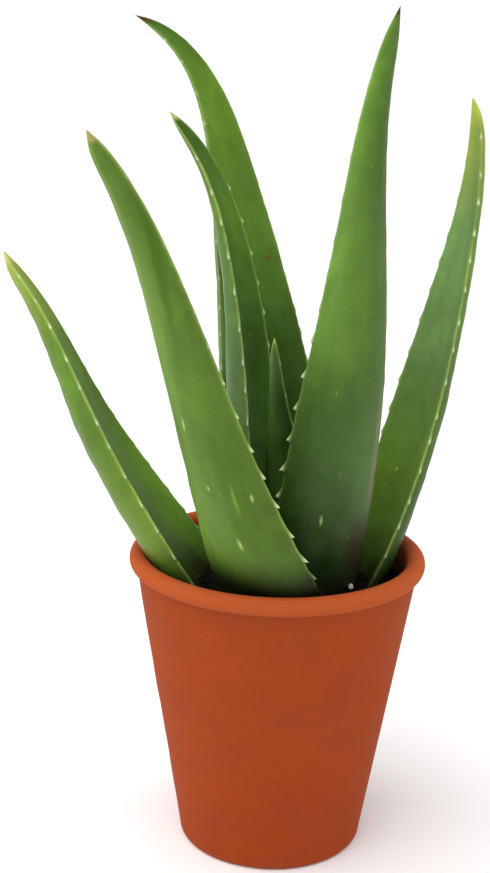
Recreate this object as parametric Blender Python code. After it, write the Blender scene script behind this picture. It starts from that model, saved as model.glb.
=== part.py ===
"""Potted aloe vera.

A turned clay pot filled with potting soil, a short crown standing in the soil,
seven fleshy leaves with toothed margins round it, and a few perlite grains.
Units are metres, +Z is up. The plant is laid out about the pot's axis; at the
end everything is moved so that the middle of its footprint is at the origin.
"""

import bpy
import bmesh
import numpy as np
from math import cos, pi, radians, sin
from mathutils import Vector

# ---------------------------------------------------------------- dimensions

GAP = 0.00035                   # clearance between pieces that rest on each other

POT_HEIGHT = 0.1453
BASE_RADIUS = 0.0438            # outer wall, carried down to the bench
WALL_RADIUS_AT_TOP = 0.0678     # outer wall, carried up to the rim's top
WALL_THICKNESS = 0.0058
FLOOR_THICKNESS = 0.0080
FOOT_ROUNDING = 0.0030
RIM_BEAD_RADIUS = 0.0043
RIM_OUTER_RADIUS = 0.0700
BEAD_UNDERCUT = 0.0037          # from the bead's middle down to where it meets the wall
INNER_ROUNDING = 0.0040         # inside corner between the floor and the wall
DRAIN_HOLE_RADIUS = 0.0070
POT_SIDES = 56

SOIL_TOP = 0.1330               # height of the soil surface at its middle
SOIL_MOUND = 0.0020             # how much lower the soil lies at the wall
SOIL_CORNER = 0.0045            # rounding at the soil's lower edge
SOIL_RINGS = 5                  # rings of the soil's top between its middle and its edge
SOIL_SIDES = 40

CROWN_CENTRE = (0.0068, -0.0018)
CROWN_BOTTOM = 0.0850
CROWN_TOP = 0.1520
# Height above the bottom as a share of the whole, and radius.
CROWN_OUTLINE = ((0.02, 0.0050), (0.25, 0.0090), (0.48, 0.0130), (0.66, 0.0195),
                 (0.76, 0.0215), (0.86, 0.0190), (0.94, 0.0135), (0.985, 0.0070))
CROWN_SIDES = 28

# Leaf section: a half-ellipse back and a shallow channel in front, which face each
# other point for point between the two margins.
BACK_POINTS = 8
CHANNEL_POINTS = BACK_POINTS - 2
# Half-width along the leaf, as a share of the widest half-width.
WIDTH_STATIONS = (0.0, 0.14, 0.32, 0.52, 0.70, 0.85, 0.95, 1.0)
WIDTH_SHARES = (0.90, 1.00, 0.91, 0.67, 0.42, 0.25, 0.14, 0.0)
SPINE_STEPS = 240

TOOTH_SPACING = 0.0135
TOOTH_BASE = 0.0032
TOOTH_LENGTH = 0.0024
TOOTH_SHRINK = 0.6              # how much smaller a tooth at the tip is than at the root
TOOTH_HOOK = 0.25               # how far a tooth's point leans up the leaf, as a share
TOOTH_FOOT = 0.22               # how far a tooth's foot reaches to the next section point
TOOTH_START = 0.0180            # first tooth, measured from the leaf's root
TOOTHED_SHARE = 0.93            # the last stretch of a leaf has no teeth
BED_RINGS = 6                   # rings of a leaf's foot that cut its bed in the soil


class Leaf:
    """One leaf: where it starts, how long and wide it is, and how it bends.

    leans are angles from upright, at even stations from root to tip; headings
    are plan angles from +X; twists turn the section about the leaf's own line.
    """

    def __init__(self, name, root, length, width, leans, headings, twists,
                 taper=1.0, back=(0.66, 0.85), channel=(0.22, 0.16)):
        self.name = name
        self.root = root
        self.length = length
        self.width = width
        self.leans = leans
        self.headings = headings
        self.twists = twists
        self.taper = taper
        self.back = back
        self.channel = channel


LEAVES = [
    Leaf("leaf_left", (-0.0250, -0.0075, 0.126), 0.1880, 0.054,
         leans=(36.5, 34.5, 28.0, 47.5), headings=(174, 174, 165), twists=(1, -13),
         taper=0.80),
    Leaf("leaf_front_left", (0.0030, -0.0290, 0.124), 0.2415, 0.058,
         leans=(29.0, 19.5, 22.0, 41.0), headings=(241, 202, 221), twists=(-2, -16),
         taper=0.90),
    Leaf("leaf_back", (0.0020, 0.0270, 0.128), 0.2920, 0.053,
         leans=(6.0, 13.5, 18.0, 79.0), headings=(121, 136, 150), twists=(6, 19),
         taper=1.05),
    Leaf("leaf_inner", (-0.0030, 0.0040, 0.1355), 0.2235, 0.044,
         leans=(3.0, 6.5, 15.5, 56.5), headings=(147, 159, 149), twists=(-12, 7),
         taper=0.90, back=(0.80, 0.90), channel=(0.50, 0.35)),
    Leaf("leaf_centre", (0.0075, -0.0030, 0.1355), 0.1175, 0.027,
         leans=(4.5, 10.5, 13.5, 8.5), headings=(239, 237, 240), twists=(0, 0),
         taper=0.75, channel=(0.40, 0.30)),
    Leaf("leaf_front_right", (0.0160, -0.0120, 0.126), 0.2710, 0.049,
         leans=(6.0, 10.5, 5.0, 23.5), headings=(304, 305, 313), twists=(0, 11)),
    Leaf("leaf_right", (0.0350, 0.0035, 0.126), 0.2410, 0.039,
         leans=(24.5, 24.0, 18.5, -11.5), headings=(31, 50, 33), twists=(15, 18),
         taper=0.70),
]

# Perlite grains: distance from the pot's axis, bearing, size. Each has shallow lumps,
# as shares of its size.
WIDE_LUMPS = 0.12
FINE_LUMPS = 0.10
PERLITE = [
    (0.0395, 331.0, 0.0028),
    (0.0560, 15.0, 0.0040),
    (0.0500, 135.0, 0.0034),
    (0.0500, 318.0, 0.0030),
    (0.0555, 238.0, 0.0032),
]

COLOURS = {
    "terracotta": ((0.402, 0.072, 0.022, 1.0), 0.85),
    "soil": ((0.012, 0.009, 0.007, 1.0), 0.95),
    "aloe_leaf": ((0.100, 0.220, 0.035, 1.0), 0.45),
    "aloe_crown": ((0.420, 0.450, 0.200, 1.0), 0.60),
    "perlite": ((0.800, 0.780, 0.720, 1.0), 0.90),
}


# ------------------------------------------------------------------- helpers

def material(name):
    """The named Principled material, made once."""
    found = bpy.data.materials.get(name)
    if found:
        return found
    colour, roughness = COLOURS[name]
    made = bpy.data.materials.new(name)
    made.use_nodes = True
    shader = made.node_tree.nodes["Principled BSDF"]
    shader.inputs["Base Color"].default_value = colour
    shader.inputs["Roughness"].default_value = roughness
    shader.inputs["Metallic"].default_value = 0.0
    made.diffuse_color = colour
    return made


def finished(name, bm, sharp_above):
    """Turn the faces outwards and make the mesh, smooth but for sharp edges."""
    bmesh.ops.recalc_face_normals(bm, faces=bm.faces)
    if bm.calc_volume(signed=True) < 0.0:
        bmesh.ops.reverse_faces(bm, faces=bm.faces)
    mesh = bpy.data.meshes.new(name)
    bm.to_mesh(mesh)
    bm.free()
    mesh.shade_smooth()
    mesh.set_sharp_from_angle(angle=radians(sharp_above))
    return mesh


def add_quad(bm, a, b, c, d):
    """Two triangles, always split the same way, so that a piece and its bed agree."""
    bm.faces.new((a, b, c))
    bm.faces.new((a, c, d))


def add_object(name, mesh, slot, root):
    """Put a mesh in the scene under the root empty, with its material."""
    thing = bpy.data.objects.new(name, mesh)
    bpy.context.collection.objects.link(thing)
    thing.parent = root
    if slot:
        mesh.materials.append(material(slot))
    return thing


def cut(thing, cutter):
    """Take the cutter's shape out of the thing."""
    boolean = thing.modifiers.new("cut_" + cutter.name, "BOOLEAN")
    boolean.operation = "DIFFERENCE"
    boolean.solver = "EXACT"
    boolean.object = cutter
    cutter.hide_render = True
    cutter.display_type = "WIRE"


def smooth_curve(stations, values, at):
    """Values between the stations, on a smooth curve that never overshoots."""
    x = np.asarray(stations, float)
    y = np.asarray(values, float)
    at = np.asarray(at, float)
    step = np.diff(x)
    rise = np.diff(y) / step
    slope = np.zeros(len(x))
    for k in range(1, len(x) - 1):
        if rise[k - 1] * rise[k] > 0.0:
            before = 2.0 * step[k] + step[k - 1]
            after = step[k] + 2.0 * step[k - 1]
            slope[k] = (before + after) / (before / rise[k - 1] + after / rise[k])
    slope[0] = end_slope(step[0], step[1], rise[0], rise[1])
    slope[-1] = end_slope(step[-1], step[-2], rise[-1], rise[-2])
    k = np.clip(np.searchsorted(x, at, side="right") - 1, 0, len(step) - 1)
    t = (at - x[k]) / step[k]
    return ((1 + 2 * t) * (1 - t) ** 2 * y[k] + t * (1 - t) ** 2 * step[k] * slope[k]
            + t * t * (3 - 2 * t) * y[k + 1] + t * t * (t - 1) * step[k] * slope[k + 1])


def end_slope(near_step, next_step, near_rise, next_rise):
    """Slope at the first or last station, kept from overshooting."""
    slope = ((2 * near_step + next_step) * near_rise - near_step * next_rise)
    slope /= near_step + next_step
    if slope * near_rise <= 0.0:
        return 0.0
    if near_rise * next_rise <= 0.0 and abs(slope) > 3.0 * abs(near_rise):
        return 3.0 * near_rise
    return slope


def even_curve(values, at):
    """As smooth_curve, with evenly spaced stations; two values are a straight line."""
    if len(values) == 2:
        return values[0] + (values[1] - values[0]) * np.asarray(at, float)
    return smooth_curve(np.linspace(0.0, 1.0, len(values)), values, at)


# --------------------------------------------------------------- turned parts

def turned_rings(bm, profile, sides, centre):
    """A ring of points about a vertical line for each (radius, height) of a profile."""
    rings = []
    for radius, height in profile:
        ring = []
        for k in range(sides):
            angle = 2.0 * pi * k / sides
            place = (centre[0] + radius * cos(angle), centre[1] + radius * sin(angle), height)
            ring.append(bm.verts.new(place))
        rings.append(ring)
    return rings


def join_rings(bm, lower, upper):
    """Faces between two rings of the same number of points."""
    for k in range(len(lower)):
        after = (k + 1) % len(lower)
        add_quad(bm, lower[k], lower[after], upper[after], upper[k])


def turned_ring(name, profile, sides, centre, slot, root):
    """A closed profile that keeps clear of the axis, turned once round it."""
    bm = bmesh.new()
    rings = turned_rings(bm, profile, sides, centre)
    for lower, upper in zip(rings, rings[1:] + rings[:1]):
        join_rings(bm, lower, upper)
    return add_object(name, finished(name, bm, 35), slot, root)


def turned_solid(name, profile, sides, centre, slot, root):
    """A profile that starts and ends on the axis, turned once round it."""
    bm = bmesh.new()
    bottom = bm.verts.new((centre[0], centre[1], profile[0][1]))
    top = bm.verts.new((centre[0], centre[1], profile[-1][1]))
    rings = turned_rings(bm, profile[1:-1], sides, centre)
    for lower, upper in zip(rings, rings[1:]):
        join_rings(bm, lower, upper)
    for k in range(sides):
        after = (k + 1) % sides
        bm.faces.new((bottom, rings[0][after], rings[0][k]))
        bm.faces.new((top, rings[-1][k], rings[-1][after]))
    return add_object(name, finished(name, bm, 35), slot, root)


def arc(centre_radius, centre_height, radius, start, stop, points):
    """Points along an arc of a profile; angles in degrees from outwards, up positive."""
    angles = [radians(start + (stop - start) * k / (points - 1)) for k in range(points)]
    return [(centre_radius + radius * cos(a), centre_height + radius * sin(a)) for a in angles]


def wall_radius(height):
    """Outer radius of the pot's straight wall at a height."""
    return BASE_RADIUS + (WALL_RADIUS_AT_TOP - BASE_RADIUS) * height / POT_HEIGHT


def build_pot(root):
    """The clay pot: tapered wall, round bead rim, flat foot with a drain hole."""
    bead_height = POT_HEIGHT - RIM_BEAD_RADIUS
    bead_centre = RIM_OUTER_RADIUS - RIM_BEAD_RADIUS
    bead_foot = bead_height - BEAD_UNDERCUT
    floor_radius = wall_radius(FLOOR_THICKNESS) - WALL_THICKNESS
    foot_centre = wall_radius(FOOT_ROUNDING) - FOOT_ROUNDING
    profile = [(DRAIN_HOLE_RADIUS, 0.0)]
    profile += arc(foot_centre, FOOT_ROUNDING, FOOT_ROUNDING, -90, -8, 5)
    profile += [(wall_radius(h), h) for h in (0.035, 0.070, 0.105)]
    profile.append((wall_radius(bead_foot), bead_foot))
    profile += arc(bead_centre, bead_height, RIM_BEAD_RADIUS, -40, 180, 12)
    profile.append((wall_radius(bead_foot) - WALL_THICKNESS, bead_foot - 0.002))
    profile += [(wall_radius(h) - WALL_THICKNESS, h) for h in (0.105, 0.070, 0.035)]
    profile += arc(floor_radius - INNER_ROUNDING, FLOOR_THICKNESS + INNER_ROUNDING,
                   INNER_ROUNDING, 0, -90, 4)
    profile.append((DRAIN_HOLE_RADIUS, FLOOR_THICKNESS))
    return turned_ring("pot", profile, POT_SIDES, (0.0, 0.0), "terracotta", root)


def soil_height(radius):
    """Height of the soil surface, a low mound that falls towards the wall."""
    share = radius / (wall_radius(SOIL_TOP) - WALL_THICKNESS)
    return SOIL_TOP - SOIL_MOUND * share * share


def build_soil(root):
    """The potting soil, filling the pot from its floor to just under the rim."""
    floor_top = FLOOR_THICKNESS + GAP
    corner_middle = wall_radius(floor_top) - WALL_THICKNESS - GAP - SOIL_CORNER
    edge_radius = wall_radius(SOIL_TOP) - WALL_THICKNESS - 2 * GAP
    profile = [(0.0, floor_top), (corner_middle, floor_top)]
    profile += arc(corner_middle, floor_top + SOIL_CORNER, SOIL_CORNER, -60, 0, 3)
    profile += [(wall_radius(h) - WALL_THICKNESS - 2 * GAP, h) for h in (0.04, 0.07, 0.10)]
    for ring in range(SOIL_RINGS, 0, -1):
        radius = edge_radius * ring / SOIL_RINGS
        profile.append((radius, soil_height(radius)))
    profile.append((0.0, soil_height(0.0)))
    return turned_solid("soil", profile, SOIL_SIDES, (0.0, 0.0), "soil", root)


def build_crown(root, name="crown", slot="aloe_crown", swell=0.0):
    """The short stem in the soil and the fleshy dome of leaf bases at its top."""
    low = CROWN_BOTTOM - swell
    height = CROWN_TOP + swell - low
    profile = [(0.0, low)]
    profile += [(radius + swell, low + height * share) for share, radius in CROWN_OUTLINE]
    profile.append((0.0, CROWN_TOP + swell))
    return turned_solid(name, profile, CROWN_SIDES, CROWN_CENTRE, slot, root)


# --------------------------------------------------------------------- leaves

class Growth:
    """A leaf's line and the direction of its width and face at any station."""

    def __init__(self, leaf, swell=0.0):
        self.leaf = leaf
        self.swell = swell
        t = np.linspace(0.0, 1.0, SPINE_STEPS + 1)
        along = self.directions(t)[0]
        steps = (along[1:] + along[:-1]) / 2.0 * leaf.length / SPINE_STEPS
        self.stations = t
        self.line = np.vstack([np.zeros(3), np.cumsum(steps, axis=0)]) + np.array(leaf.root)

    def directions(self, t):
        """Unit vectors along the leaf, across it, and out of its inner face."""
        leaf = self.leaf
        lean = np.radians(even_curve(leaf.leans, t))
        heading = np.radians(even_curve(leaf.headings, t))
        twist = np.radians(even_curve(leaf.twists, t))
        along = np.stack([np.sin(lean) * np.cos(heading),
                          np.sin(lean) * np.sin(heading),
                          np.cos(lean)], axis=-1)
        flat_face = np.stack([-np.cos(lean) * np.cos(heading),
                              -np.cos(lean) * np.sin(heading),
                              np.sin(lean)], axis=-1)
        level = np.stack([-np.sin(heading), np.cos(heading), np.zeros_like(heading)], axis=-1)
        c = np.cos(twist)[..., None]
        s = np.sin(twist)[..., None]
        return along, c * level - s * flat_face, c * flat_face + s * level

    def place(self, t):
        """The leaf's line at station t."""
        return np.array([np.interp(t, self.stations, self.line[:, k]) for k in range(3)])

    def half_width(self, t):
        """Half the leaf's width at station t."""
        share = float(smooth_curve(WIDTH_STATIONS, WIDTH_SHARES, t))
        return self.leaf.width / 2.0 * share ** self.leaf.taper

    def outline(self, t):
        """The section at station t as (across, face) points, clockwise from a margin."""
        leaf = self.leaf
        half = self.half_width(t)
        back = half * (leaf.back[0] + (leaf.back[1] - leaf.back[0]) * t)
        channel = half * (leaf.channel[0] + (leaf.channel[1] - leaf.channel[0]) * t)
        points = []
        for k in range(BACK_POINTS):
            angle = pi * k / (BACK_POINTS - 1)
            points.append((half * cos(angle), -back * sin(angle)))
        for k in range(1, CHANNEL_POINTS + 1):
            side = -1.0 + 2.0 * k / (CHANNEL_POINTS + 1)
            points.append((half * side, -channel * (1.0 - side * side)))
        return points

    def placed(self, t, points):
        """Section points set in space at station t."""
        centre = self.place(t)
        _, across, face = self.directions(np.array(t))
        return [centre + across * x + face * y for x, y in points]

    def section(self, t):
        """The section's points, from one margin round the back to the other and across."""
        return self.placed(t, grown(self.outline(t), self.swell))


def grown(points, distance):
    """A clockwise outline with every side moved outwards by the distance."""
    moved = []
    for k, (x, y) in enumerate(points):
        before = points[k - 1]
        after = points[(k + 1) % len(points)]
        first = outward(before, (x, y))
        second = outward((x, y), after)
        reach = distance / (1.0 + first[0] * second[0] + first[1] * second[1])
        moved.append((x + (first[0] + second[0]) * reach, y + (first[1] + second[1]) * reach))
    return moved


def outward(start, end):
    """Unit normal on the left of a side, which is outwards on a clockwise outline."""
    run = end[0] - start[0]
    rise = end[1] - start[1]
    size = (run * run + rise * rise) ** 0.5
    return -rise / size, run / size


def tooth_stations(leaf):
    """Where the teeth stand along the leaf, as shares of its length."""
    run = leaf.length * TOOTHED_SHARE - TOOTH_START
    count = int(run / TOOTH_SPACING)
    return [(TOOTH_START + run * k / count) / leaf.length for k in range(count + 1)]


def ring_stations(leaf):
    """Stations of the leaf's rings, and the ring after which each tooth stands."""
    half_base = TOOTH_BASE / 2.0 / leaf.length
    stations = [0.0, TOOTH_START / 2.0 / leaf.length]
    tooth_after = {}
    for t in tooth_stations(leaf):
        tooth_after[len(stations)] = t
        stations += [t - half_base, t + half_base]
    stations.append(0.5 * (stations[-1] + 1.0))
    return stations, tooth_after


def leaf_mesh(leaf):
    """A closed leaf: rings of section points, teeth on both margins, a pointed tip."""
    growth = Growth(leaf)
    stations, tooth_after = ring_stations(leaf)
    bm = bmesh.new()
    rings = [[bm.verts.new(p) for p in growth.section(t)] for t in stations]
    count = len(rings[0])
    margins = (0, BACK_POINTS - 1)
    for i in range(len(rings) - 1):
        for k in range(count):
            touching = [m for m in margins if m in (k, (k + 1) % count)]
            if i in tooth_after and touching:
                continue
            after = (k + 1) % count
            add_quad(bm, rings[i][k], rings[i][after], rings[i + 1][after], rings[i + 1][k])
        if i in tooth_after:
            for margin in margins:
                add_tooth(bm, growth, rings[i], rings[i + 1], margin, tooth_after[i])
    tip = bm.verts.new(growth.place(1.0))
    for k in range(count):
        bm.faces.new((rings[-1][k], rings[-1][(k + 1) % count], tip))
    close_end(bm, rings[0])
    return finished(leaf.name, bm, 40)


def close_end(bm, ring):
    """Close a ring with a strip from its back to its channel."""
    back = ring[:BACK_POINTS]
    channel = [ring[0]] + ring[:BACK_POINTS - 1:-1] + [ring[BACK_POINTS - 1]]
    bm.faces.new((back[0], back[1], channel[1]))
    for k in range(1, BACK_POINTS - 2):
        add_quad(bm, back[k], back[k + 1], channel[k + 1], channel[k])
    bm.faces.new((back[-2], back[-1], channel[-2]))


def add_tooth(bm, growth, ring, following, margin, t):
    """A small pyramid on a margin, between two rings of the leaf."""
    along, across, _ = growth.directions(np.array(t))
    outwards = across if margin == 0 else -across
    count = len(ring)
    size = 1.0 - TOOTH_SHRINK * t
    middle = (np.array(ring[margin].co) + np.array(following[margin].co)) / 2.0
    point = middle + (outwards + TOOTH_HOOK * along) * TOOTH_LENGTH * size
    apex = bm.verts.new(point)
    for step in (1, -1):
        near = (margin + step) % count
        inner = (np.array(ring[near].co) + np.array(following[near].co)) / 2.0
        rise = Vector(middle + (inner - middle) * TOOTH_FOOT)
        root = bm.verts.new(rise)
        bm.faces.new((ring[margin], root, ring[near])[::step])
        bm.faces.new((root, following[margin], following[near])[::step])
        bm.faces.new((ring[near], root, following[near])[::step])
        bm.faces.new((ring[margin], apex, root)[::step])
        bm.faces.new((apex, following[margin], root)[::step])


def build_leaves(root):
    """The leaves, and for each a slightly larger foot that cuts its bed."""
    leaves = [add_object(leaf.name, leaf_mesh(leaf), "aloe_leaf", root) for leaf in LEAVES]
    beds = [add_object(leaf.name + "_bed", bed_mesh(leaf), None, root) for leaf in LEAVES]
    return leaves, beds


def bed_mesh(leaf):
    """The foot of a leaf, grown by the clearance on every side."""
    growth = Growth(leaf, GAP)
    along = growth.directions(np.array(0.0))[0]
    bm = bmesh.new()
    stations = ring_stations(leaf)[0][:BED_RINGS]
    rings = [[bm.verts.new(p) for p in growth.section(t)] for t in stations]
    for vert in rings[0]:
        vert.co -= Vector(along) * GAP
    for lower, upper in zip(rings, rings[1:]):
        join_rings(bm, lower, upper)
    close_end(bm, rings[0])
    close_end(bm, rings[-1])
    return finished(leaf.name + "_bed", bm, 40)


# -------------------------------------------------------------------- perlite

def build_perlite(root):
    """Pale angular grains lying on the soil."""
    for number, (distance, bearing, size) in enumerate(PERLITE, start=1):
        bm = bmesh.new()
        bmesh.ops.create_icosphere(bm, subdivisions=2, radius=size / 2.0)
        for vert in bm.verts:
            x, y, z = vert.co / (size / 2.0)
            wide = WIDE_LUMPS * sin(5 * x + number)
            fine = FINE_LUMPS * cos(4 * y - 2 * number) * sin(3 * z)
            vert.co *= 1.0 + wide + fine
        lowest = min(vert.co.z for vert in bm.verts)
        angle = radians(bearing)
        here = Vector((distance * cos(angle), distance * sin(angle), 0.0))
        here.z = soil_height(distance - size) - lowest + GAP
        bmesh.ops.translate(bm, verts=bm.verts, vec=here)
        name = "perlite_%d" % number
        add_object(name, finished(name, bm, 60), "perlite", root)


# ------------------------------------------------------------------- assembly

def centre_footprint(root, things):
    """Move the root so that the middle of the footprint stands at the origin."""
    corners = [vert.co for thing in things for vert in thing.data.vertices]
    low = [min(c[k] for c in corners) for k in range(3)]
    high = [max(c[k] for c in corners) for k in range(3)]
    root.location = (-(low[0] + high[0]) / 2.0, -(low[1] + high[1]) / 2.0, -low[2])


def main():
    for old in list(bpy.data.objects):
        bpy.data.objects.remove(old, do_unlink=True)
    root = bpy.data.objects.new("aloe_plant", None)
    bpy.context.collection.objects.link(root)
    pot = build_pot(root)
    soil = build_soil(root)
    crown = build_crown(root)
    leaves, beds = build_leaves(root)
    for leaf, bed in zip(LEAVES, beds):
        cut(crown, bed)
        if leaf.root[2] < SOIL_TOP:
            cut(soil, bed)
    cut(soil, build_crown(root, "crown_bed", None, GAP))
    build_perlite(root)
    centre_footprint(root, [pot] + leaves)


main()
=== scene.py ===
"""Finished look of the potted aloe vera.

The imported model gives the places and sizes. Each leaf is grown again along the
same line with a fine skin, rounded margins and hooked teeth; the pot, the soil,
the crown and the perlite are remade the same way. Units are metres, +Z is up.
"""

from math import cos, pi, radians, sin
from random import Random

import bmesh
import bpy
import numpy as np
from mathutils import Euler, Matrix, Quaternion, Vector


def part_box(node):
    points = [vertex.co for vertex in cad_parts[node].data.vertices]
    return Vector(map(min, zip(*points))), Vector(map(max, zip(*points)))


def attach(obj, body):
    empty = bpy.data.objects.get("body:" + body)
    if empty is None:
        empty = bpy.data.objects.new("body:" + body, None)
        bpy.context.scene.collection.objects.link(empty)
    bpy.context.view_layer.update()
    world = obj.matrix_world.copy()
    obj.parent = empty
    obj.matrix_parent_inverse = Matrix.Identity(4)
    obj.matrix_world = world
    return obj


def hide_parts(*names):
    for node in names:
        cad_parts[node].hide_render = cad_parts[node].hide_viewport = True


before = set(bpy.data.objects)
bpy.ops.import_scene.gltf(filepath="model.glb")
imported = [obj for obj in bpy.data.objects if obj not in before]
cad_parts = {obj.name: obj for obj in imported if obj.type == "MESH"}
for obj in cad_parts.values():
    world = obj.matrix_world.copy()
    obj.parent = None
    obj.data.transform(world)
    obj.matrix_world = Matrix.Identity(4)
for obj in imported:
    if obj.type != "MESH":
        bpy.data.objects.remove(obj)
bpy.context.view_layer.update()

# ---------------------------------------------------------------- dimensions

POT_LOW, POT_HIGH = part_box("pot")
AXIS = Vector(((POT_LOW.x + POT_HIGH.x) / 2, (POT_LOW.y + POT_HIGH.y) / 2, 0.0))
POT_HEIGHT = POT_HIGH.z
RIM_OUTER_RADIUS = (POT_HIGH.x - POT_LOW.x) / 2
BASE_RADIUS = 0.0438            # outer wall, carried down to the bench
WALL_RADIUS_AT_TOP = 0.0678     # outer wall, carried up to the rim's top
WALL_THICKNESS = 0.0058
FLOOR_THICKNESS = 0.0080
FOOT_ROUNDING = 0.0030
RIM_BEAD_RADIUS = 0.0043
BEAD_UNDERCUT = 0.0040          # from the bead's middle down to where it meets the wall
DRAIN_HOLE_RADIUS = 0.0070
INNER_ROUNDING = 0.0040         # inside corner between the floor and the wall
HOLE_ROUNDING = 0.0010          # edge of the drain hole, on the outside
BEAD_START = -62                # where the bead's arc leaves the wall, degrees from outwards
POT_STEP = 0.0016               # longest step of the pot's outline
WALL_UNEVENNESS = 0.00022       # how far the turned wall sinks in and back out
POT_SIDES = 240

SOIL_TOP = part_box("soil")[1].z
SOIL_MOUND = 0.0020             # how much lower the soil lies at the wall
SOIL_CLEARANCE = 0.0003         # between the soil and the pot's wall
SOIL_LIFT = 0.0005              # between the soil and the pot's floor
SOIL_CORNER = 0.0040            # slope at the soil's lower edge
SOIL_RINGS = 70                 # rings of the soil's top between its middle and its edge
SOIL_WALL_RINGS = 24
SOIL_SIDES = 200

CROWN_LOW, CROWN_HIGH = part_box("crown")
CROWN_SIDES = 120

BACK_STEPS = 32                 # round the back of a leaf, from margin to margin
FACE_STEPS = 28                 # across its inner face
RING_SPACING = 0.00062
MARGIN_ROUNDING = 0.0009        # half the thickness of a leaf's edge
WIDTH_STATIONS = (0.0, 0.14, 0.32, 0.52, 0.70, 0.85, 0.95, 1.0)
WIDTH_SHARES = (0.90, 1.00, 0.91, 0.67, 0.42, 0.25, 0.14, 0.0)
SPINE_STEPS = 240

TOOTH_SPACING = 0.0135
TOOTH_LENGTH = 0.0026
TOOTH_BELOW = 0.0020            # how far a tooth's foot runs down the margin
TOOTH_ABOVE = 0.0044            # and up it
TOOTH_THICKNESS = 0.0013        # half the thickness of a tooth at its foot
TOOTH_START = 0.0150            # first tooth at the earliest, from the leaf's root
TOOTHED_SHARE = 0.94            # the last stretch of a leaf has no teeth
TOOTH_FADE = 0.76               # how much of a tooth's size is lost where they fade out
TOOTH_FADE_REACH = 0.25         # over this share of the leaf
TOOTH_LEAN = 0.10               # how far a tooth's point leans down the leaf, as a share of its length
MARGIN_LINE = 0.0008            # reach of the pale line along a margin


def paint(red, green, blue):
    """A linear colour from 8-bit display values."""
    shares = [channel / 255.0 for channel in (red, green, blue)]
    linear = [s / 12.92 if s <= 0.04045 else ((s + 0.055) / 1.055) ** 2.4 for s in shares]
    return (*linear, 1.0)


class Leaf:
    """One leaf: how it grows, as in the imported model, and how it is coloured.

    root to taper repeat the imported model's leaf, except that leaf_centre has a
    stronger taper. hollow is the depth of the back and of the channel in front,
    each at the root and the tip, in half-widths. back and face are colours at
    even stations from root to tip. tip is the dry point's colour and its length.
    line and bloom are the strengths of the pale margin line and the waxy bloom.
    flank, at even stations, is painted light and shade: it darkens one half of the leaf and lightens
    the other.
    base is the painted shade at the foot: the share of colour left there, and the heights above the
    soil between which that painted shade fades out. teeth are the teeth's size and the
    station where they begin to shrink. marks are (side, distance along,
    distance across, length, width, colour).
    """

    def __init__(self, name, root, length, width, leans, headings, twists, back, face,
                 tip, line, bloom, flank, teeth, taper=1.0,
                 hollow=((0.66, 0.85), (0.22, 0.16)), base=(0.35, 0.002, 0.026), marks=()):
        self.name = name
        self.root = root
        self.length = length
        self.width = width
        self.leans = leans
        self.headings = headings
        self.twists = twists
        self.taper = taper
        self.hollow = hollow
        self.back = back
        self.face = face
        self.tip = tip
        self.line = line
        self.bloom = bloom
        self.flank = flank
        self.base = base
        self.teeth = teeth
        self.marks = marks


# Leaf colours, as 8-bit display values: greens, then the tones of the marks.
# painted shade, for the leaves' lowest parts deep in the rosette
SHADE = (36, 62, 20)
DEEP = (56, 86, 28)
GREEN = (76, 108, 34)
FRESH = (94, 128, 40)
BRIGHT = (118, 150, 52)
BLUISH = (100, 132, 72)
YELLOWISH = (142, 156, 60)

PALE = (160, 186, 100)
STREAK = (116, 146, 50)
ROSY = (112, 112, 86)
# painted shade, for the marks along a fold and down a shaded half of a leaf
PAINTED_SHADE_GREEN = (66, 98, 18)
# painted light, for a mark that lightens a face lying in shade
PAINTED_LIGHT_GREEN = (116, 152, 76)
BROWN = (106, 80, 44)
PURPLE = (66, 56, 40)

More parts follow.
